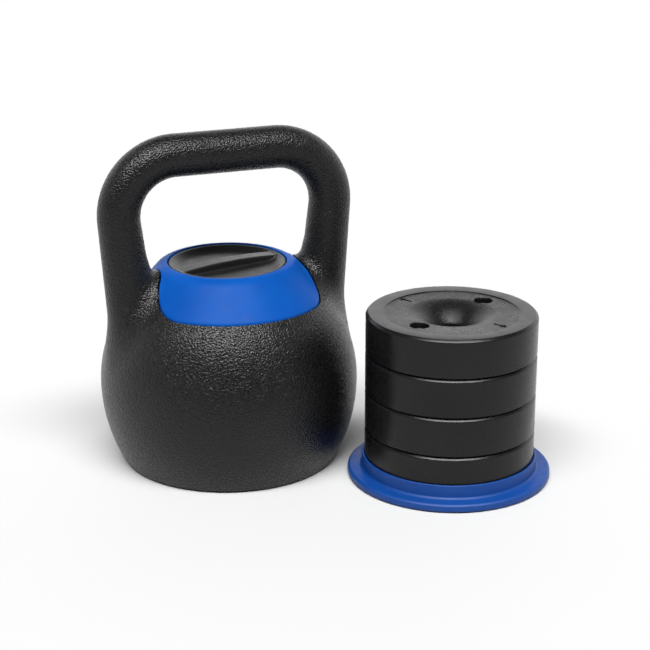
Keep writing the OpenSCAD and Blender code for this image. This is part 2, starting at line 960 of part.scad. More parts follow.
// Socket-head screws down through the peg holes into the pegs
module peg_screws(level) {
    color(steel)
        on_set()
            translate([0, 0, tray_z + rest_gap + (level - 1) * plate_pitch])
                ring(peg_count, peg_orbit_r)
                    difference() {
                        union() {
                            translate([0, 0, plate_t - peg_hole_h])
                                cylinder(h = peg_screw_head_h, r = peg_screw_head_r, $fn = small_fn);
                            translate([0, 0, peg_screw_end_z])
                                cylinder(h = plate_t - peg_hole_h - peg_screw_end_z + eps,
                                         r = peg_screw_r, $fn = small_fn);
                        }
                        translate([0, 0, plate_t - peg_hole_h + peg_screw_head_h - peg_socket_h])
                            cylinder(h = peg_socket_h + over, r = peg_socket_r, $fn = small_fn);
                    }
}

// ---------- nodes ----------

bell_casting();
top_cover();
cover_screws();
lock_housing();
housing_screws();
spindle_bush();
dial();
dial_drive_plate();
dial_screws();
thrust_washer();
spindle();
spindle_clip();
cross_pin();
base_tray();
base_pad();
hub_socket();
hub_screws();
weight_plate(1);  // weight_plate_1
weight_plate(2);  // weight_plate_2
weight_plate(3);  // weight_plate_3
weight_plate(4);  // weight_plate_4
plate_pegs(1);  // plate_pegs_1
plate_pegs(2);  // plate_pegs_2
plate_pegs(3);  // plate_pegs_3
plate_pegs(4);  // plate_pegs_4
peg_screws(1);  // peg_screws_1
peg_screws(2);  // peg_screws_2
peg_screws(3);  // peg_screws_3
peg_screws(4);  // peg_screws_4
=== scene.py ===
"""Adjustable kettlebell and its weight set: the visible meshes, materials, light and camera.

Lengths in the geometry part are millimetres and become metres when a mesh is made.
The bell is built about its own axis and the weight set about its own axis, then moved to
where the CAD nodes stand. Names that end in _R, _Z, _T and _H are radii, heights above the
floor, thicknesses and depths.
"""

import json
import math
from itertools import product

import bmesh
import bpy
import numpy as np
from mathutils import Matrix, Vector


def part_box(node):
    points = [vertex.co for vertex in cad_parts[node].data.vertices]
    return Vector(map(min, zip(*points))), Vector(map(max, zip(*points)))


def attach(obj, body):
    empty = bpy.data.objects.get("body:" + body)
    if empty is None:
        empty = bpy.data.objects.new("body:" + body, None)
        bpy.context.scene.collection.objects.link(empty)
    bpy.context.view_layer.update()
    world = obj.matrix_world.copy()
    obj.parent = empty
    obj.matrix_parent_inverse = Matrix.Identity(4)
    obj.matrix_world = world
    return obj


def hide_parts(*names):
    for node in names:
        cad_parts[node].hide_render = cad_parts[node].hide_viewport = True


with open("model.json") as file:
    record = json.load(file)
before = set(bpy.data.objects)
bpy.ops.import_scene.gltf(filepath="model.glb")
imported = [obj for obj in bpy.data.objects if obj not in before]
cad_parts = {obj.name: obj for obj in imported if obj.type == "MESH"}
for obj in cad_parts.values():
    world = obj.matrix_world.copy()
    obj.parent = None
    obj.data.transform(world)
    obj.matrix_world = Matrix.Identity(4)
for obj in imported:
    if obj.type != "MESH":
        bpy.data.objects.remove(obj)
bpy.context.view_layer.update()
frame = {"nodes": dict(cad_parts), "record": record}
nodes = frame["nodes"]

MM = 0.001

# ---------- places ----------


def middle(node):
    """Centre of a node's box in plan, in millimetres."""
    low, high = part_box(node)
    return (low.x + high.x) / 2 / MM, (low.y + high.y) / 2 / MM


BELL = middle("spindle_bush")
SET = middle("base_tray")
SET_TURN = math.radians(28)
DIAL_TURN = math.radians(13)

# ---------- bell sizes ----------

BELLY_R = 107.95
BELLY_Z = 68.0
LOWER_ARC = 140.0
LOWER_CX = BELLY_R - LOWER_ARC
UPPER_ARC = 105.0
UPPER_CX = BELLY_R - UPPER_ARC
FOOT_ROUND = 3.0
WALL = 12.0
SHOULDER_SWELL = 1.9
SHOULDER_LOW_Z = 95.0
EDGE_R = 80.5
EDGE_Z = 141.0
RING_R = 55.5
TOP_Z = 170.0
RING_ROUND = 5.0
HOLE_R = 49.6
COVER_T = 4.1
SEAT_DEPTH = 4.6
DECK_Z = 156.0
GAP = 1.3
NOTCH_R = 32.5
NOTCH_X = 90.5
CORNER_R = 34.0
SKIRT_DX = EDGE_R - RING_R
SKIRT_DZ = TOP_Z - EDGE_Z
SKIRT_L = math.hypot(SKIRT_DX, SKIRT_DZ)
SKIRT_NX = SKIRT_DZ / SKIRT_L
SKIRT_NZ = SKIRT_DX / SKIRT_L

GRIP_R = 17.5
GRIP_Z = 262.5
GRIP_HALF = 42.4
BEND_R = 48.0
LEG_LEAN = math.radians(5.5)
LEG_LEN = 108.0
LEG_LOW_R = 20.5
ROOT_LOW = (71.0, 118.0)
ROOT_R = 28.0
ROOT_LEAN = math.radians(14)
ROOT_LEN = 53.6
ROOT_BLEND = 14.0
LEG_BLEND = 4.0

BORE_R = 73.3
CEILING_Z = 142.6
CEILING_ROUND = 9.0
RECESS_R = 84.4
RECESS_Z = 7.8
LIP_TOP_Z = 14.8
HOUSING_BORE_R = 19.62
COVER_SCREW_ORBIT = 60.0
HOUSING_SCREW_ORBIT = 24.5
FIELD_STEP = 1.9

# ---------- mesh tools ----------


def make_object(name, verts, faces, turn=0.0, centre=(0.0, 0.0), lift=0.0):
    """A mesh object from points in millimetres, turned about Z and moved to its place."""
    points = np.asarray(verts, float)
    c, s = math.cos(turn), math.sin(turn)
    x = points[:, 0] * c - points[:, 1] * s + centre[0]
    y = points[:, 0] * s + points[:, 1] * c + centre[1]
    placed = np.stack([x, y, points[:, 2] + lift], axis=1) * MM
    mesh = bpy.data.meshes.new(name)
    mesh.from_pydata(placed.tolist(), [], [list(map(int, f)) for f in faces])
    made = bmesh.new()
    made.from_mesh(mesh)
    bmesh.ops.recalc_face_normals(made, faces=made.faces)
    made.to_mesh(mesh)
    made.free()
    obj = bpy.data.objects.new(name, mesh)
    bpy.context.scene.collection.objects.link(obj)
    return obj


def rounded(points, step=math.radians(10)):
    """A closed outline with its corners rounded: points are (r, z) or (r, z, rounding)."""
    out = []
    n = len(points)
    for i, point in enumerate(points):
        p = np.array(point[:2], float)
        radius = point[2] if len(point) > 2 else 0.0
        if not radius:
            out.append(p)
            continue
        a = np.array(points[i - 1][:2], float) - p
        b = np.array(points[(i + 1) % n][:2], float) - p
        a /= np.linalg.norm(a)
        b /= np.linalg.norm(b)
        half = math.acos(float(np.clip(a @ b, -1, 1))) / 2
        reach = radius / math.tan(half)
        start, end = p + a * reach, p + b * reach
        centre = p + (a + b) / np.linalg.norm(a + b) * radius / math.sin(half)
        v0, v1 = start - centre, end - centre
        sweep = math.acos(float(np.clip(v0 @ v1 / radius**2, -1, 1)))
        side = 1 if v0[0] * v1[1] - v0[1] * v1[0] > 0 else -1
        count = max(2, math.ceil(sweep / step))
        for k in range(count + 1):
            t = side * sweep * k / count
            c, s = math.cos(t), math.sin(t)
            out.append(centre + np.array([v0[0] * c - v0[1] * s, v0[0] * s + v0[1] * c]))
    return [tuple(p) for p in out]


def arc(cx, cz, radius, start, end, count):
    """Points on an arc in the (r, z) plane, angles in radians."""
    return [
        (cx + radius * math.cos(t), cz + radius * math.sin(t))
        for t in np.linspace(start, end, count)
    ]


def lathe(name, outline, segments=192, **place):
    """A solid turned from a closed (r, z) outline. Points on the axis become single poles."""
    verts, rings, faces = [], [], []
    angles = np.linspace(0, 2 * math.pi, segments, endpoint=False)
    for r, z in outline:
        if r < 1e-6:
            rings.append([len(verts)])
            verts.append((0.0, 0.0, z))
        else:
            rings.append(list(range(len(verts), len(verts) + segments)))
            verts += [(r * math.cos(a), r * math.sin(a), z) for a in angles]
    for i, ring in enumerate(rings):
        following = rings[(i + 1) % len(rings)]
        if len(ring) == 1 and len(following) == 1:
            continue
        for k in range(segments):
            m = (k + 1) % segments
            if len(ring) == 1:
                faces.append((ring[0], following[m], following[k]))
            elif len(following) == 1:
                faces.append((ring[k], ring[m], following[0]))
            else:
                faces.append((ring[k], ring[m], following[m], following[k]))
    return make_object(name, verts, faces, **place)


def cutter(spots, outline, segments=48, **place):
    """One mesh of equal turned solids, standing at each spot (x, y)."""
    base = lathe("cutter_base", outline, segments)
    points = np.array([v.co for v in base.data.vertices]) / MM
    polygons = [list(p.vertices) for p in base.data.polygons]
    bpy.data.objects.remove(base)
    verts, faces = [], []
    for x, y in spots:
        first = len(verts)
        verts += (points + np.array([x, y, 0])).tolist()
        faces += [[v + first for v in p] for p in polygons]
    return make_object("cutter", verts, faces, **place)


def prism(name, outline, low, high, **place):
    """A straight solid on a flat outline."""
    n = len(outline)
    verts = [(x, y, low) for x, y in outline] + [(x, y, high) for x, y in outline]
    faces = [tuple(range(n)), tuple(range(n, 2 * n))]
    faces += [(i, (i + 1) % n, (i + 1) % n + n, i + n) for i in range(n)]
    return make_object(name, verts, faces, **place)


def combine(obj, tool, operation="DIFFERENCE"):
    """Cuts the tool from the object, or joins it on, and removes the tool."""
    mod = obj.modifiers.new("solid", "BOOLEAN")
    mod.operation = operation
    mod.solver = "MANIFOLD"
    mod.object = tool
    bpy.context.view_layer.update()
    graph = bpy.context.evaluated_depsgraph_get()
    mesh = bpy.data.meshes.new_from_object(obj.evaluated_get(graph))
    obj.modifiers.clear()
    obj.data = mesh
    bpy.data.objects.remove(tool)
    return obj


def smooth(obj, angle):
    """Smooth shading with edges sharper than the angle kept crisp."""
    obj.data.polygons.foreach_set("use_smooth", [True] * len(obj.data.polygons))
    obj.data.set_sharp_from_angle(angle=math.radians(angle))
    return obj


def circle_spots(count, orbit, start=0.0):
    """Points evenly round a circle; start is in degrees."""
    return [
        (
            orbit * math.cos(math.radians(start) + 2 * math.pi * i / count),
            orbit * math.sin(math.radians(start) + 2 * math.pi * i / count),
        )
        for i in range(count)
    ]


# ---------- implicit surfaces ----------


def soft_min(a, b, k):
    """The smaller of two fields, with the crossing rounded over a width k."""
    h = np.clip(0.5 + 0.5 * (b - a) / k, 0, 1)
    return b + (a - b) * h - k * h * (1 - h)


def soft_max(a, b, k):
    """The larger of two fields, with the crossing rounded over a width k."""
    return -soft_min(-a, -b, k)


def cone_field(p, a, b, ra, rb):
    """Distance to a round bar from a to b whose radius goes from ra to rb."""
    ax = [b[i] - a[i] for i in range(3)]
    length = sum(c * c for c in ax)
    h = sum((p[i] - a[i]) * ax[i] for i in range(3)) / length
    h = np.clip(h, 0, 1)
    d = sum((p[i] - a[i] - h * ax[i]) ** 2 for i in range(3))
    return np.sqrt(d) - (ra + (rb - ra) * h)


def surface_net(field, low, high, step):
    """Quads over the zero surface of a field, with each vertex moved onto the surface."""
    axes = [np.arange(low[i], high[i] + step, step) for i in range(3)]
    grid = np.array(
        np.broadcast_to(
            field(axes[0][:, None, None], axes[1][None, :, None], axes[2][None, None, :]),
            [len(a) for a in axes],
        )
    )
    inside = grid < 0
    size = np.array(grid.shape) - 1
    corner = {}
    count = np.zeros(size, int)
    for d in product((0, 1), repeat=3):
        part = tuple(slice(d[i], size[i] + d[i]) for i in range(3))
        corner[d] = part
        count += inside[part]
    active = (count > 0) & (count < 8)
    cells = np.argwhere(active)
    index = np.full(size, -1)
    index[active] = np.arange(len(cells))
    total = np.zeros((len(cells), 3))
    hits = np.zeros(len(cells))
    for a in corner:
        for axis in range(3):
            if a[axis]:
                continue
            b = tuple(1 if i == axis else a[i] for i in range(3))
            va = grid[corner[a]][active]
            vb = grid[corner[b]][active]
            cross = (va < 0) != (vb < 0)
            t = np.where(cross, va / np.where(cross, va - vb, 1), 0)
            p = np.array(a, float)[None, :] + t[:, None] * (np.array(b) - np.array(a))
            total += np.where(cross[:, None], p, 0)
            hits += cross
    points = (cells + total / hits[:, None]) * step + np.array(low, float)
    for _ in range(5):
        points = onto(field, points, step)
    faces = []
    for axis in range(3):
        u, v = (axis + 1) % 3, (axis + 2) % 3
        a = [slice(None)] * 3
        b = [slice(None)] * 3
        a[axis], b[axis] = slice(0, -1), slice(1, None)
        change = inside[tuple(a)] != inside[tuple(b)]
        spots = np.argwhere(change)
        keep = (
            (spots[:, u] > 0)
            & (spots[:, v] > 0)
            & (spots[:, u] < size[u])
            & (spots[:, v] < size[v])
        )
        spots = spots[keep]
        quad = []
        for du, dv in ((1, 1), (0, 1), (0, 0), (1, 0)):
            c = spots.copy()
            c[:, u] -= du
            c[:, v] -= dv
            quad.append(index[c[:, 0], c[:, 1], c[:, 2]])
        faces.append(np.stack(quad, axis=1))
    return points, np.concatenate(faces)


def onto(field, points, step):
    """One Newton step towards the zero surface, no longer than a third of a grid step."""
    h = 0.02
    value = field(points[:, 0], points[:, 1], points[:, 2])
    slope = np.empty_like(points)
    for i in range(3):
        shift = np.zeros(3)
        shift[i] = h
        p, m = points + shift, points - shift
        ahead = field(p[:, 0], p[:, 1], p[:, 2])
        behind = field(m[:, 0], m[:, 1], m[:, 2])
        slope[:, i] = (ahead - behind) / (2 * h)
    move = value[:, None] * slope / np.maximum((slope**2).sum(1), 1e-4)[:, None]
    length = np.linalg.norm(move, axis=1, keepdims=True)
    move *= np.minimum(1, step / 3 / np.maximum(length, 1e-9))
    return points - move


# ---------- bell ----------


def body_field(x, y, z):
    """Outside of the bell without its handle, the cover filled in."""
    r = np.sqrt(x * x + y * y)
    low = np.sqrt((r - LOWER_CX) ** 2 + (z - BELLY_Z) ** 2) - LOWER_ARC
    t = np.clip((z - SHOULDER_LOW_Z) / (EDGE_Z - SHOULDER_LOW_Z), 0, 1)
    swell = SHOULDER_SWELL * t * t * (3 - 2 * t)
    high = np.sqrt((r - UPPER_CX) ** 2 + (z - BELLY_Z) ** 2) - UPPER_ARC - swell
    shell = np.where(z < BELLY_Z, low, high)
    cone = (r - EDGE_R) * SKIRT_NX + (z - EDGE_Z) * SKIRT_NZ
    cap = soft_max(cone, z - TOP_Z, RING_ROUND)
    body = np.where(z < EDGE_Z, shell, cap)
    return soft_max(body, -z, FOOT_ROUND)


def handle_field(x, y, z):
    """Round bar, bends, legs and widened roots, mirrored about the middle."""
    u = np.abs(x)
    bend_z = GRIP_Z - BEND_R
    p = (u, y, z)
    bar = cone_field(p, (0, 0, GRIP_Z), (GRIP_HALF, 0, GRIP_Z), GRIP_R, GRIP_R)
    dx, dz = u - GRIP_HALF, z - bend_z
    sector = (dx > 0) & (dz > -np.abs(dx) * math.tan(LEG_LEAN))
    ring = np.sqrt((np.sqrt(dx * dx + dz * dz) - BEND_R) ** 2 + y * y) - GRIP_R
    bend = np.where(sector, ring, 1e3)
    top = (
        GRIP_HALF + BEND_R * math.cos(LEG_LEAN),
        0,
        bend_z - BEND_R * math.sin(LEG_LEAN),
    )
    foot = (
        top[0] - LEG_LEN * math.sin(LEG_LEAN),
        0,
        top[2] - LEG_LEN * math.cos(LEG_LEAN),
    )
    leg = cone_field(p, top, foot, GRIP_R, LEG_LOW_R)
    low = (ROOT_LOW[0], 0, ROOT_LOW[1])
    high = (
        low[0] + ROOT_LEN * math.sin(ROOT_LEAN),
        0,
        low[2] + ROOT_LEN * math.cos(ROOT_LEAN),
    )
    root = cone_field(p, low, high, ROOT_R, GRIP_R - 1)
    leg = soft_min(leg, root, LEG_BLEND)
    return np.minimum(np.minimum(bar, bend), leg)


def bell_field(x, y, z):
    """Outside of the whole bell; the legs flow into the body with a wide fillet."""
    width = ROOT_BLEND * np.clip((200 - z) / 40, 0.02, 1)
    return soft_min(body_field(x, y, z), handle_field(x, y, z), width)


def top_surface(x, y):
    """Height of the bell's upper surface over points inside the handle's legs."""
    z = np.full_like(x, 186.0)
    for _ in range(90):
        z = z - bell_field(x, y, z) * 0.85
    return z


def cover_reach(angle, grow):
    """Distance from the axis to the cover's edge in plan, moved out by grow."""
    c, s = abs(math.cos(angle)), abs(math.sin(angle))
    orbit = EDGE_R - CORNER_R
    span = NOTCH_R + CORNER_R
    kx = (orbit**2 - span**2 + NOTCH_X**2) / (2 * NOTCH_X)
    ky = math.sqrt(orbit**2 - kx**2)
    at_edge = math.atan2(ky, kx)
    share = (NOTCH_R - grow) / span
    at_notch = math.atan2(ky * share, NOTCH_X + (kx - NOTCH_X) * share)
    here = math.atan2(s, c)
    if here >= at_edge:
        return EDGE_R + grow
    if here <= at_notch:
        return NOTCH_X * c - math.sqrt((NOTCH_R - grow) ** 2 - (NOTCH_X * s) ** 2)
    along = kx * c + ky * s
    across = kx * s - ky * c
    return along + math.sqrt((CORNER_R + grow) ** 2 - across**2)


def polar_shell(name, inner, reach, upper, lower, spans, segments, **place):
    """A closed ring-shaped solid between two heights over a polar grid.

    spans are the radial stations from 0 at the inner edge to 1 at the outer edge."""
    angles = np.linspace(0, 2 * math.pi, segments, endpoint=False)
    outer = np.array([reach(a) for a in angles])
    rows = []
    for t in spans:
        r = inner + (outer - inner) * t
        rows.append((r * np.cos(angles), r * np.sin(angles), r, outer))
    loops = [(x, y, upper(x, y, r, far)) for x, y, r, far in rows]
    loops += [(x, y, lower(x, y, r, far)) for x, y, r, far in reversed(rows)]
    verts = np.concatenate([np.stack(loop, axis=1) for loop in loops])
    faces = []
    total = len(loops)
    for i in range(total):
        j = (i + 1) % total
        for k in range(segments):
            m = (k + 1) % segments
            quad = (i * segments + k, i * segments + m, j * segments + m, j * segments + k)
            faces.append(quad)
    return make_object(name, verts, faces, **place)


def edge_drop(distance, radius):
    """How far a rounded edge lies below the surface at a distance from the edge."""
    inside = np.clip(radius - distance, 0, radius)
    return radius - np.sqrt(radius**2 - inside**2)


def build_cover():
    """Ring and skirt of the top cover, following the blended surface, with rounded edges."""
    edge_round, hole_round = 1.1, 0.7

    def upper(x, y, r, far):
        z = top_surface(x, y)
        return z - edge_drop(far - r, edge_round) - edge_drop(r - HOLE_R, hole_round)

    def lower(x, y, r, far):
        return np.minimum(top_surface(x, y) - COVER_T, TOP_Z - 6.5)

    fine = [0.0, 0.004, 0.01, 0.02, 0.04]
    spans = fine + list(np.linspace(0.07, 0.93, 30)) + [1 - f for f in reversed(fine)]
    return polar_shell(
        "cover_shell",
        HOLE_R,
        lambda a: cover_reach(a, 0.0),
        upper,
        lower,
        spans,
        720,
        centre=BELL,
    )


def build_casting():
    """The iron casting: blended outside, cored hollow, seat for the cover."""
    low, high = (-112, -112, -4), (112, 112, 286)
    points, faces = surface_net(bell_field, low, high, FIELD_STEP)
    casting = make_object("iron_bell", points, faces, centre=BELL)
    top = CEILING_Z - 18.0
    low_arc = LOWER_ARC - WALL
    high_arc = UPPER_ARC - WALL
    start = -math.asin((BELLY_Z - LIP_TOP_Z) / low_arc)
    end = math.asin((top - BELLY_Z) / high_arc)
    wall = arc(LOWER_CX, BELLY_Z, low_arc, start, 0, 14)
    wall += arc(UPPER_CX, BELLY_Z, high_arc, 0, end, 14)[1:]
    hollow = rounded(
        [
            (0, -3),
            (RECESS_R + 0.8, -3),
            (RECESS_R + 0.8, -0.2),
            (RECESS_R, 0.8),
            (RECESS_R, RECESS_Z, 0.8),
            (BORE_R, RECESS_Z, 0.9),
            (BORE_R, LIP_TOP_Z, 0.9),
            *wall,
            (BORE_R, top, 1.5),
            (BORE_R, CEILING_Z, CEILING_ROUND),
            (0, CEILING_Z),
        ]
    )
    combine(casting, lathe("hollow", hollow, 160, centre=BELL))

    def floor_of_seat(x, y, r, far):
        return np.minimum(DECK_Z, top_surface(x, y) - SEAT_DEPTH)

    spans = list(np.linspace(0, 1, 24))
    seat = polar_shell(
        "seat",
        4.0,
        lambda a: cover_reach(a, GAP),
        lambda x, y, r, far: np.full_like(r, 188.0),
        floor_of_seat,
        spans,
        480,
        centre=BELL,
    )
    combine(casting, seat)
    core = rounded([(0, 120), (HOUSING_BORE_R, 120), (HOUSING_BORE_R, 190), (0, 190)])
    combine(casting, lathe("core", core, 96, centre=BELL))
    screw = [(0, 141), (4.3, 141), (4.3, 146), (2.3, 146), (2.3, 150.1), (4.8, 150.1)]
    screw += [(4.8, 190), (0, 190)]
    combine(casting, cutter(circle_spots(4, COVER_SCREW_ORBIT, 45), screw, centre=BELL))
    tapped = [(0, 148.5), (1.55, 148.5), (1.55, 190), (0, 190)]
    spots = circle_spots(3, HOUSING_SCREW_ORBIT, 90)
    combine(casting, cutter(spots, tapped, 24, centre=BELL))
    return smooth(casting, 34)


# ---------- dial ----------

DIAL_R = 48.6
DIAL_TOP = 169.2
DIAL_BASE = 160.4
DISH_R = 46.0
DISH_DEPTH = 4.6
DISH_RUN = 6.5
BAR_W = 13.0
BAR_TOP = DIAL_TOP + 1.6
BAR_END_DROP = 2.4
BAR_HALF = 45.4
DIAL_SCREW_ORBIT = 11.5
DIAL_STEP = 0.75


def dial_field(x, y, z):
    """Dial with a dished face and an arched grip bar; the bar runs along X."""
    r = np.sqrt(x * x + y * y)
    disc = soft_max(r - DIAL_R, z - DIAL_TOP, 1.4)
    disc = soft_max(disc, DIAL_BASE - z, 0.8)
    slope = math.hypot(DISH_RUN, DISH_DEPTH)
    wall = ((r - DISH_R) * DISH_DEPTH - (z - DIAL_TOP) * DISH_RUN) / slope
    pan = soft_max(wall, DIAL_TOP - DISH_DEPTH - z, 2.5)
    disc = soft_max(disc, -pan, 0.9)
    bar_arc = (BAR_HALF**2 + BAR_END_DROP**2) / (2 * BAR_END_DROP)
    top = np.sqrt(x * x + (z - BAR_TOP + bar_arc) ** 2) - bar_arc
    flank = BAR_W / 2 - 0.4 + (DIAL_TOP - z) * 0.05
    bar = soft_max(np.abs(y) - flank, top, 0.8)
    bar = soft_max(bar, r - BAR_HALF, 1.0)
    bar = np.maximum(bar, DIAL_BASE + 3 - z)
    return soft_min(disc, bar, 0.9)


def build_dial():
    """The dial, with the drive plate's pocket and the screw holes cut into its underside."""
    points, faces = surface_net(dial_field, (-50, -50, 158), (50, 50, 173), DIAL_STEP)
    dial = make_object("dial_knob", points, faces, turn=DIAL_TURN, centre=BELL)
    pocket = [(0, 155), (18.02, 155), (18.02, 163.12), (0, 163.12)]
    combine(dial, lathe("pocket", pocket, 96, centre=BELL))
    screws = [(0, 160), (1.62, 160), (1.62, 166.8), (0, 166.8)]
    spots = circle_spots(2, DIAL_SCREW_ORBIT)
    holes = cutter(spots, screws, 24, turn=DIAL_TURN, centre=BELL)
    combine(dial, holes)
    return smooth(dial, 50)


# ---------- weight set ----------

PLATE_R = 70.0
PLATE_T = 32.7
PITCH = 33.0
STACK_Z = 8.6
HOLE_PLATE_R = 13.5
FUNNEL_R = 36.5
FUNNEL_ARC = 33.8
FUNNEL_SLOPE = math.radians(8)
STEP_R = 55.3
STEP_H = 0.6
PEG_ORBIT = 42.0
PEG_HOLE_R = 7.8
PEG_HOLE_H = 7.0
PEG_IN = 9.0
ARROW_ORBIT = 0.69 * PLATE_R
ARROW = ((6.5, 0), (1.5, 4), (1.5, 1.2), (-6.5, 1.2), (-6.5, -1.2), (1.5, -1.2), (1.5, -4))
ARROW_DEPTH = 1.0
FLANGE_R = 83.78
COLLAR_R = 72.3
COLLAR_TOP_Z = 18.8
HUB_SCREW_ORBIT = 17.0


def build_plate(level):
    """One weight plate: bevelled rim, shallow textured ring, funnel, peg holes, arrows."""
    ring_z = PLATE_T - STEP_H
    cx = FUNNEL_R + FUNNEL_ARC * math.sin(FUNNEL_SLOPE)
    cz = ring_z - FUNNEL_ARC * math.cos(FUNNEL_SLOPE)
    last = math.asin((cx - HOLE_PLATE_R) / FUNNEL_ARC)
    funnel = [
        (cx - FUNNEL_ARC * math.sin(t), cz + FUNNEL_ARC * math.cos(t))
        for t in np.linspace(FUNNEL_SLOPE, last - 0.02, 22)
    ]
    outline = rounded(
        [
            (HOLE_PLATE_R, 0, 0.5),
            (PLATE_R - 1.3, 0, 0.5),
            (PLATE_R, 1.3, 0.8),
            (PLATE_R, PLATE_T - 2.1, 1.6),
            (PLATE_R - 2.1, PLATE_T, 1.6),
            (STEP_R + 0.25, PLATE_T, 0.25),
            (STEP_R, ring_z, 0.25),
            *funnel,
            (HOLE_PLATE_R, funnel[-1][1] - 0.9, 0.5),
        ]
    )
    place = {"turn": SET_TURN, "centre": SET, "lift": STACK_Z + (level - 1) * PITCH}
    plate = lathe(f"plate_{level}_body", outline, 224, **place)
    up = PLATE_T + 3
    hole = [
        (0, PLATE_T - PEG_HOLE_H),
        (PEG_HOLE_R, PLATE_T - PEG_HOLE_H),
        (PEG_HOLE_R, ring_z - 0.6),
        (PEG_HOLE_R + 0.6, ring_z),
        (PEG_HOLE_R + 1.2, up),
        (0, up),
    ]
    spots = circle_spots(2, PEG_ORBIT)
    combine(plate, cutter(spots, hole, 64, **place))
    under = [(0, -3), (7.32, -3), (7.32, PEG_IN), (2.02, PEG_IN), (2.02, up), (0, up)]
    combine(plate, cutter(spots, under, 48, **place))
    for side in (1, -1):
        outline = [(-side * y, side * (ARROW_ORBIT + x)) for x, y in ARROW]
        arrow = prism("arrow", outline, ring_z - ARROW_DEPTH, up, **place)
        combine(plate, arrow)
    return smooth(plate, 33)


def build_tray():
    """Blue base: flat flange, raised collar round the stack, pockets for pegs and hub."""
    inner, floor = PLATE_R + 0.4, 8.3
    outline = rounded(
        [
            (0, 1.0),
            (FLANGE_R - 0.78, 1.0, 0.4),
            (FLANGE_R, 1.8, 0.6),
            (FLANGE_R, 5.9, 1.2),
            (FLANGE_R - 1.58, 7.3, 1.6),
            (COLLAR_R + 1.3, 7.3, 1.5),
            (COLLAR_R, 9.0, 1.5),
            (COLLAR_R, COLLAR_TOP_Z, 0.7),
            (inner, COLLAR_TOP_Z, 0.7),
            (inner, floor, 0.3),
            (22.02, floor, 0.2),
            (22.02, 5.2),
            (0, 5.2),
        ]
    )
    place = {"turn": SET_TURN, "centre": SET}
    tray = lathe("tray_body", outline, 224, **place)
    pocket = [(0, 2.6), (7.8, 2.6), (7.8, 20), (0, 20)]
    combine(tray, cutter(circle_spots(2, PEG_ORBIT), pocket, 48, **place))
    screws = [(0, 2.4), (1.52, 2.4), (1.52, 20), (0, 20)]
    combine(tray, cutter(circle_spots(3, HUB_SCREW_ORBIT, 30), screws, 24, **place))
    return smooth(tray, 33)


# ---------- materials ----------


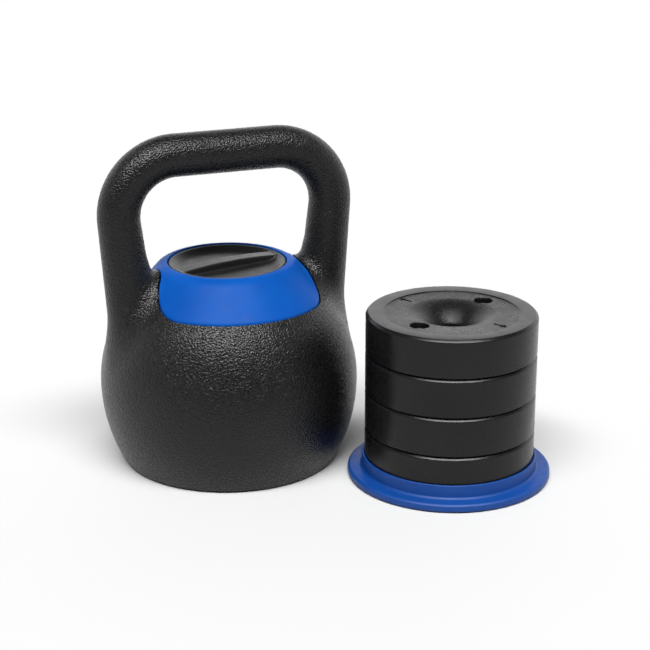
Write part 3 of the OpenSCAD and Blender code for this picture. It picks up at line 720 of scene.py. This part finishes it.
class Paint:
    """A Principled material built up from small node calls."""

    def __init__(self, name):
        self.mat = bpy.data.materials.new(name)
        self.mat.use_nodes = True
        self.tree = self.mat.node_tree
        self.tree.nodes.clear()
        self.shader = self.node("ShaderNodeBsdfPrincipled")
        out = self.node("ShaderNodeOutputMaterial")
        self.tree.links.new(self.shader.outputs["BSDF"], out.inputs["Surface"])
        self.place = self.node("ShaderNodeTexCoord").outputs["Object"]

    def node(self, kind, **props):
        made = self.tree.nodes.new(kind)
        for key, value in props.items():
            setattr(made, key, value)
        return made

    def put(self, socket, value):
        if hasattr(value, "is_linked"):
            self.tree.links.new(value, socket)
        else:
            socket.default_value = value

    def stretch(self, scale):
        made = self.node("ShaderNodeMapping")
        self.put(made.inputs["Vector"], self.place)
        made.inputs["Scale"].default_value = scale
        return made.outputs["Vector"]

    def noise(self, scale, detail=3.0, rough=0.5, where=None):
        made = self.node("ShaderNodeTexNoise")
        self.put(made.inputs["Vector"], where or self.place)
        made.inputs["Scale"].default_value = scale
        made.inputs["Detail"].default_value = detail
        made.inputs["Roughness"].default_value = rough
        return made.outputs["Fac"]

    def cells(self, scale, smoothness=0.6):
        made = self.node("ShaderNodeTexVoronoi", feature="SMOOTH_F1")
        self.put(made.inputs["Vector"], self.place)
        made.inputs["Scale"].default_value = scale
        made.inputs["Smoothness"].default_value = smoothness
        return made.outputs["Distance"]

    def span(self, value, from_low, from_high, to_low, to_high):
        made = self.node("ShaderNodeMapRange")
        self.put(made.inputs["Value"], value)
        for key, number in (
            ("From Min", from_low),
            ("From Max", from_high),
            ("To Min", to_low),
            ("To Max", to_high),
        ):
            made.inputs[key].default_value = number
        return made.outputs["Result"]

    def math(self, operation, a, b=0.0):
        made = self.node("ShaderNodeMath", operation=operation)
        self.put(made.inputs[0], a)
        self.put(made.inputs[1], b)
        return made.outputs[0]

    def blend(self, share, a, b):
        made = self.node("ShaderNodeMix", data_type="RGBA")
        self.put(made.inputs["Factor"], share)
        self.put(made.inputs[6], a)
        self.put(made.inputs[7], b)
        return made.outputs[2]

    def bump(self, height, distance, strength=1.0, after=None):
        made = self.node("ShaderNodeBump")
        self.put(made.inputs["Height"], height)
        made.inputs["Distance"].default_value = distance
        made.inputs["Strength"].default_value = strength
        if after is not None:
            self.put(made.inputs["Normal"], after)
        return made.outputs["Normal"]

    def edges(self, low=0.52, high=0.60):
        """1 on worn convex edges, broken up by noise, 0 elsewhere."""
        point = self.node("ShaderNodeNewGeometry").outputs["Pointiness"]
        worn = self.span(point, low, high, 0.0, 1.0)
        broken = self.span(self.noise(220, 4, 0.6), 0.42, 0.62, 0.0, 1.0)
        return self.math("MULTIPLY", worn, broken)

    def axis(self, name):
        made = self.node("ShaderNodeSeparateXYZ")
        self.put(made.inputs[0], self.place)
        return made.outputs[name]

    def radius(self, centre):
        """Distance from a vertical axis at centre, in metres."""
        x = self.math("SUBTRACT", self.axis("X"), centre[0] * MM)
        y = self.math("SUBTRACT", self.axis("Y"), centre[1] * MM)
        x2 = self.math("MULTIPLY", x, x)
        y2 = self.math("MULTIPLY", y, y)
        return self.math("SQRT", self.math("ADD", x2, y2))

    def finish(self, colour, rough, normal=None, metal=0.0, level=0.5, coat=0.0):
        self.put(self.shader.inputs["Base Color"], colour)
        self.put(self.shader.inputs["Roughness"], rough)
        self.put(self.shader.inputs["Metallic"], metal)
        self.put(self.shader.inputs["Specular IOR Level"], level)
        if coat:
            self.shader.inputs["Coat Weight"].default_value = coat
            self.shader.inputs["Coat Roughness"].default_value = 0.25
        if normal is not None:
            self.put(self.shader.inputs["Normal"], normal)
        return self.mat


def grey(value):
    """A near-neutral grey, a trace blue."""
    return (value, value, value * 1.03, 1.0)


def iron_paint():
    """Pebbled semi-gloss powder coat with a faint wear line at the foot."""
    p = Paint("iron_powder_coat")
    broad = p.noise(14, 3, 0.55)
    fine = p.noise(2600, 2, 0.6)
    colour = p.blend(p.span(broad, 0.35, 0.65, 0, 1), grey(0.0035), grey(0.0055))
    colour = p.blend(p.span(fine, 0.55, 0.75, 0, 0.5), colour, grey(0.012))
    foot = p.span(p.axis("Z"), 0.0, 0.006, 1.0, 0.0)
    chips = p.span(p.noise(420, 4, 0.65), 0.52, 0.60, 0.0, 0.8)
    colour = p.blend(p.math("MULTIPLY", foot, chips), colour, grey(0.07))
    domes = p.cells(640, 0.2)
    pits = p.noise(900, 1, 0.5)
    dome_rough = p.span(domes, 0.15, 0.60, 0.12, 0.32)
    rough = p.math("ADD", dome_rough, p.span(pits, 0.35, 0.6, 0.10, 0.0))
    normal = p.bump(p.math("MULTIPLY", domes, domes), -0.0006, 0.8)
    normal = p.bump(pits, 0.0003, 0.8, normal)
    return p.finish(colour, rough, normal, level=0.30)


def blue_gloss():
    """Moulded satin-gloss blue plastic."""
    p = Paint("cover_blue")
    flow = p.noise(22, 2, 0.5)
    deep = (0.0010, 0.050, 0.255, 1.0)
    light = (0.0020, 0.064, 0.305, 1.0)
    colour = p.blend(p.span(flow, 0.3, 0.7, 0, 1), deep, light)
    colour = p.blend(p.math("MULTIPLY", p.edges(), 0.35), colour, (0.05, 0.13, 0.36, 1.0))
    rough = p.span(p.noise(90, 4, 0.6), 0.3, 0.7, 0.40, 0.50)
    normal = p.bump(p.noise(3800, 2, 0.5), 0.00004, 0.5)
    return p.finish(colour, rough, normal, level=0.06)


def blue_satin():
    """The same blue, a little deeper and less glossy, on the base."""
    p = Paint("base_blue")
    flow = p.noise(18, 2, 0.5)
    colour = p.blend(
        p.span(flow, 0.3, 0.7, 0, 1),
        (0.001, 0.034, 0.175, 1.0),
        (0.002, 0.042, 0.210, 1.0),
    )
    colour = p.blend(p.math("MULTIPLY", p.edges(), 0.4), colour, (0.05, 0.11, 0.30, 1.0))
    rough = p.span(p.noise(120, 4, 0.6), 0.3, 0.7, 0.40, 0.54)
    normal = p.bump(p.noise(3000, 2, 0.5), 0.00006, 0.5)
    return p.finish(colour, rough, normal, level=0.3)


def plate_paint():
    """Smooth satin black; pebbled only on the sunk ring and in the funnel."""
    p = Paint("plate_black")
    broad = p.noise(16, 3, 0.5)
    colour = p.blend(p.span(broad, 0.3, 0.7, 0, 1), grey(0.004), grey(0.007))
    colour = p.blend(p.math("MULTIPLY", p.edges(), 0.4), colour, grey(0.04))
    r = p.radius(SET)
    rim = p.span(r, 0.0535, 0.0552, 1.0, 0.0)
    rough = p.span(p.noise(75, 4, 0.6), 0.3, 0.7, 0.24, 0.33)
    grain = p.math("MULTIPLY", p.noise(950, 2, 0.6), rim)
    normal = p.bump(grain, 0.0005, 0.8)
    normal = p.bump(p.noise(2600, 2, 0.5), 0.00003, 0.5, normal)
    return p.finish(colour, rough, normal, level=0.24)


def dial_paint():
    """Fine-grained dark grey moulded plastic."""
    p = Paint("dial_grey")
    broad = p.noise(30, 3, 0.5)
    colour = p.blend(p.span(broad, 0.3, 0.7, 0, 1), grey(0.006), grey(0.011))
    colour = p.blend(p.math("MULTIPLY", p.edges(), 0.4), colour, grey(0.05))
    rough = p.span(p.noise(160, 4, 0.6), 0.3, 0.7, 0.30, 0.40)
    normal = p.bump(p.noise(2200, 3, 0.6), 0.00010, 0.6)
    return p.finish(colour, rough, normal, level=0.30)


def dull_plastic():
    """Matt black moulded plastic."""
    p = Paint("housing_black")
    colour = p.blend(p.span(p.noise(40, 3), 0.3, 0.7, 0, 1), grey(0.014), grey(0.024))
    colour = p.blend(p.math("MULTIPLY", p.edges(), 0.4), colour, grey(0.08))
    rough = p.span(p.noise(200, 4), 0.3, 0.7, 0.5, 0.65)
    return p.finish(colour, rough, p.bump(p.noise(1800, 3), 0.00012, 0.6))


def turned_metal(name, dark, light, low, high):
    """Turned metal: fine rings along Z, colour and gloss a little uneven."""
    p = Paint(name)
    lines = p.noise(900, 3, 0.6, p.stretch((0.15, 0.15, 4.0)))
    colour = p.blend(p.span(p.noise(120, 3), 0.3, 0.7, 0, 1), dark, light)
    rough = p.span(lines, 0.3, 0.7, low, high)
    return p.finish(colour, rough, p.bump(lines, 0.00006, 0.5), metal=1.0)


def rubber():
    """Matt pebbled rubber."""
    p = Paint("pad_rubber")
    colour = p.blend(p.span(p.noise(60, 4), 0.3, 0.7, 0, 1), grey(0.012), grey(0.028))
    rough = p.span(p.noise(300, 4), 0.3, 0.7, 0.75, 0.9)
    return p.finish(colour, rough, p.bump(p.cells(900, 0.3), 0.0003, 0.8))


def paint(obj, mat):
    """Puts the material in every slot of an object."""
    if obj.data.materials:
        for i in range(len(obj.data.materials)):
            obj.data.materials[i] = mat
    else:
        obj.data.materials.append(mat)
    return obj


# ---------- assembly of the looks ----------


def place_piece(obj, mat, body, node):
    """A new piece with its material, riding on a body in place of a CAD node."""
    paint(obj, mat)
    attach(obj, body)
    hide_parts(node)


def dress_node(name, mat):
    """A CAD node kept as it is: merged corners, smooth curved faces, small bevel, material."""
    obj = nodes[name]
    paint(obj, mat)
    weld = obj.modifiers.new("weld", "WELD")
    weld.merge_threshold = 0.000002
    bevel = obj.modifiers.new("edge", "BEVEL")
    bevel.width = 0.00025
    bevel.segments = 2
    bevel.limit_method = "ANGLE"
    bevel.angle_limit = math.radians(50)
    bevel.use_clamp_overlap = True
    obj.data.polygons.foreach_set("use_smooth", [True] * len(obj.data.polygons))
    obj.data.set_sharp_from_angle(angle=math.radians(35))


def build_object():
    """Every visible piece with its material and its body."""
    iron = iron_paint()
    place_piece(build_casting(), iron, "bell", "bell_casting")
    cover = smooth(build_cover(), 40)
    place_piece(cover, blue_gloss(), "bell", "top_cover")
    place_piece(build_dial(), dial_paint(), "dial_and_spindle", "dial")
    place_piece(build_tray(), blue_satin(), "base", "base_tray")
    black = plate_paint()
    for level in (1, 2, 3, 4):
        body, node = f"plate_{level}", f"weight_plate_{level}"
        place_piece(build_plate(level), black, body, node)
    steel = turned_metal(
        "turned_steel", (0.50, 0.51, 0.53, 1), (0.62, 0.63, 0.65, 1), 0.24, 0.38
    )
    bronze = turned_metal(
        "turned_bronze", (0.52, 0.34, 0.16, 1), (0.66, 0.46, 0.24, 1), 0.28, 0.42
    )
    kept = {
        "steel": steel,
        "bronze": bronze,
        "black_plastic": dull_plastic(),
        "pad_rubber": rubber(),
    }
    replaced = {"bell_casting", "top_cover", "dial", "base_tray"}
    replaced |= {f"weight_plate_{level}" for level in (1, 2, 3, 4)}
    for part in frame["record"]["subparts"]:
        if part["node"] not in replaced:
            dress_node(part["node"], kept[part["material_slot"]])


# ---------- floor, light, camera ----------


VIEW_YAW = math.radians(-20.5)
VIEW_PITCH = math.radians(70.805)
VIEW_FROM_BELL = (-0.4160, -1.3439, 0.6019)
VIEW_LENS = 98.23
FLOOR_HALF = 30000.0

# heights of the softbox (as the sine of the elevation) and the brightness of each card
KEY_LOW = 0.80
KEY_HIGH = 0.92
KEY_LEVEL = 36.0
WALL_LEVEL = 1.9
LEFT_LEVEL = 0.95
RIGHT_LEVEL = 1.05
DIM_LEVEL = 0.04
TOP_LEVEL = 0.15
KEY_EDGE = 0.04


def build_floor():
    """A plain pale floor, far larger than the view."""
    half = FLOOR_HALF
    corners = [(-half, -half, 0), (half, -half, 0), (half, half, 0), (-half, half, 0)]
    floor = make_object("studio_floor", corners, [(0, 1, 2, 3)])
    p = Paint("floor_pale")
    tone = p.span(p.noise(1.5, 2), 0.3, 0.7, 0, 1)
    colour = p.blend(tone, (0.52, 0.52, 0.52, 1), (0.53, 0.53, 0.53, 1))
    paint(floor, p.finish(colour, 0.7, level=0.2))


def build_dome():
    """A studio surround by direction: a wide softbox high in front, a pale wall behind,
    cards left and right, dim elsewhere."""
    world = bpy.data.worlds.new("studio")
    bpy.context.scene.world = world
    world.use_nodes = True
    tree = world.node_tree
    tree.nodes.clear()
    coord = tree.nodes.new("ShaderNodeTexCoord").outputs["Generated"]

    def along(axis):
        made = tree.nodes.new("ShaderNodeVectorMath")
        made.operation = "DOT_PRODUCT"
        tree.links.new(coord, made.inputs[0])
        made.inputs[1].default_value = axis
        return made.outputs["Value"]

    def ramp(socket, low, high, a, b):
        made = tree.nodes.new("ShaderNodeMapRange")
        made.interpolation_type = "SMOOTHSTEP"
        tree.links.new(socket, made.inputs["Value"])
        span = {"From Min": low, "From Max": high, "To Min": a, "To Max": b}
        for key, number in span.items():
            made.inputs[key].default_value = number
        return made.outputs["Result"]

    def join(operation, *parts):
        result = parts[0]
        for part in parts[1:]:
            made = tree.nodes.new("ShaderNodeMath")
            made.operation = operation
            tree.links.new(result, made.inputs[0])
            tree.links.new(part, made.inputs[1])
            result = made.outputs[0]
        return result

    away = (math.sin(-VIEW_YAW), math.cos(-VIEW_YAW), 0)
    right = (math.cos(VIEW_YAW), math.sin(VIEW_YAW), 0)
    up, depth, side = along((0, 0, 1)), along(away), along(right)
    softbox = join(
        "MULTIPLY",
        ramp(up, KEY_LOW - KEY_EDGE, KEY_LOW + KEY_EDGE, 0, KEY_LEVEL),
        ramp(up, KEY_HIGH - KEY_EDGE, KEY_HIGH + KEY_EDGE, 1, 0),
        ramp(depth, -0.40, -0.22, 1, 0),
    )
    wall = join(
        "MULTIPLY",
        ramp(depth, 0.10, 0.50, 0, WALL_LEVEL),
        ramp(up, 0.40, 0.56, 1, 0.08),
    )
    left_card = ramp(side, -0.70, -0.92, 0, LEFT_LEVEL)
    right_card = ramp(side, 0.78, 0.95, 0, RIGHT_LEVEL)
    ambient = ramp(up, 0.30, 1.0, DIM_LEVEL, TOP_LEVEL)
    level = join("ADD", join("MAXIMUM", wall, left_card, right_card, ambient), softbox)
    shade = tree.nodes.new("ShaderNodeBackground")
    tree.links.new(level, shade.inputs["Strength"])
    out = tree.nodes.new("ShaderNodeOutputWorld")
    tree.links.new(shade.outputs[0], out.inputs["Surface"])


def build_camera():
    """The camera stands in front of the bell and above it, tilted down, with no shift."""
    data = bpy.data.cameras.new("view")
    data.sensor_width = 36
    data.lens = VIEW_LENS
    data.clip_start, data.clip_end = 0.05, 200
    camera = bpy.data.objects.new("view", data)
    dx, dy, height = VIEW_FROM_BELL
    camera.location = (BELL[0] * MM + dx, BELL[1] * MM + dy, height)
    camera.rotation_euler = (VIEW_PITCH, 0, VIEW_YAW)
    bpy.context.scene.collection.objects.link(camera)
    bpy.context.scene.camera = camera


build_object()
build_floor()
build_dome()
build_camera()
bpy.context.scene.view_settings.view_transform = "Standard"
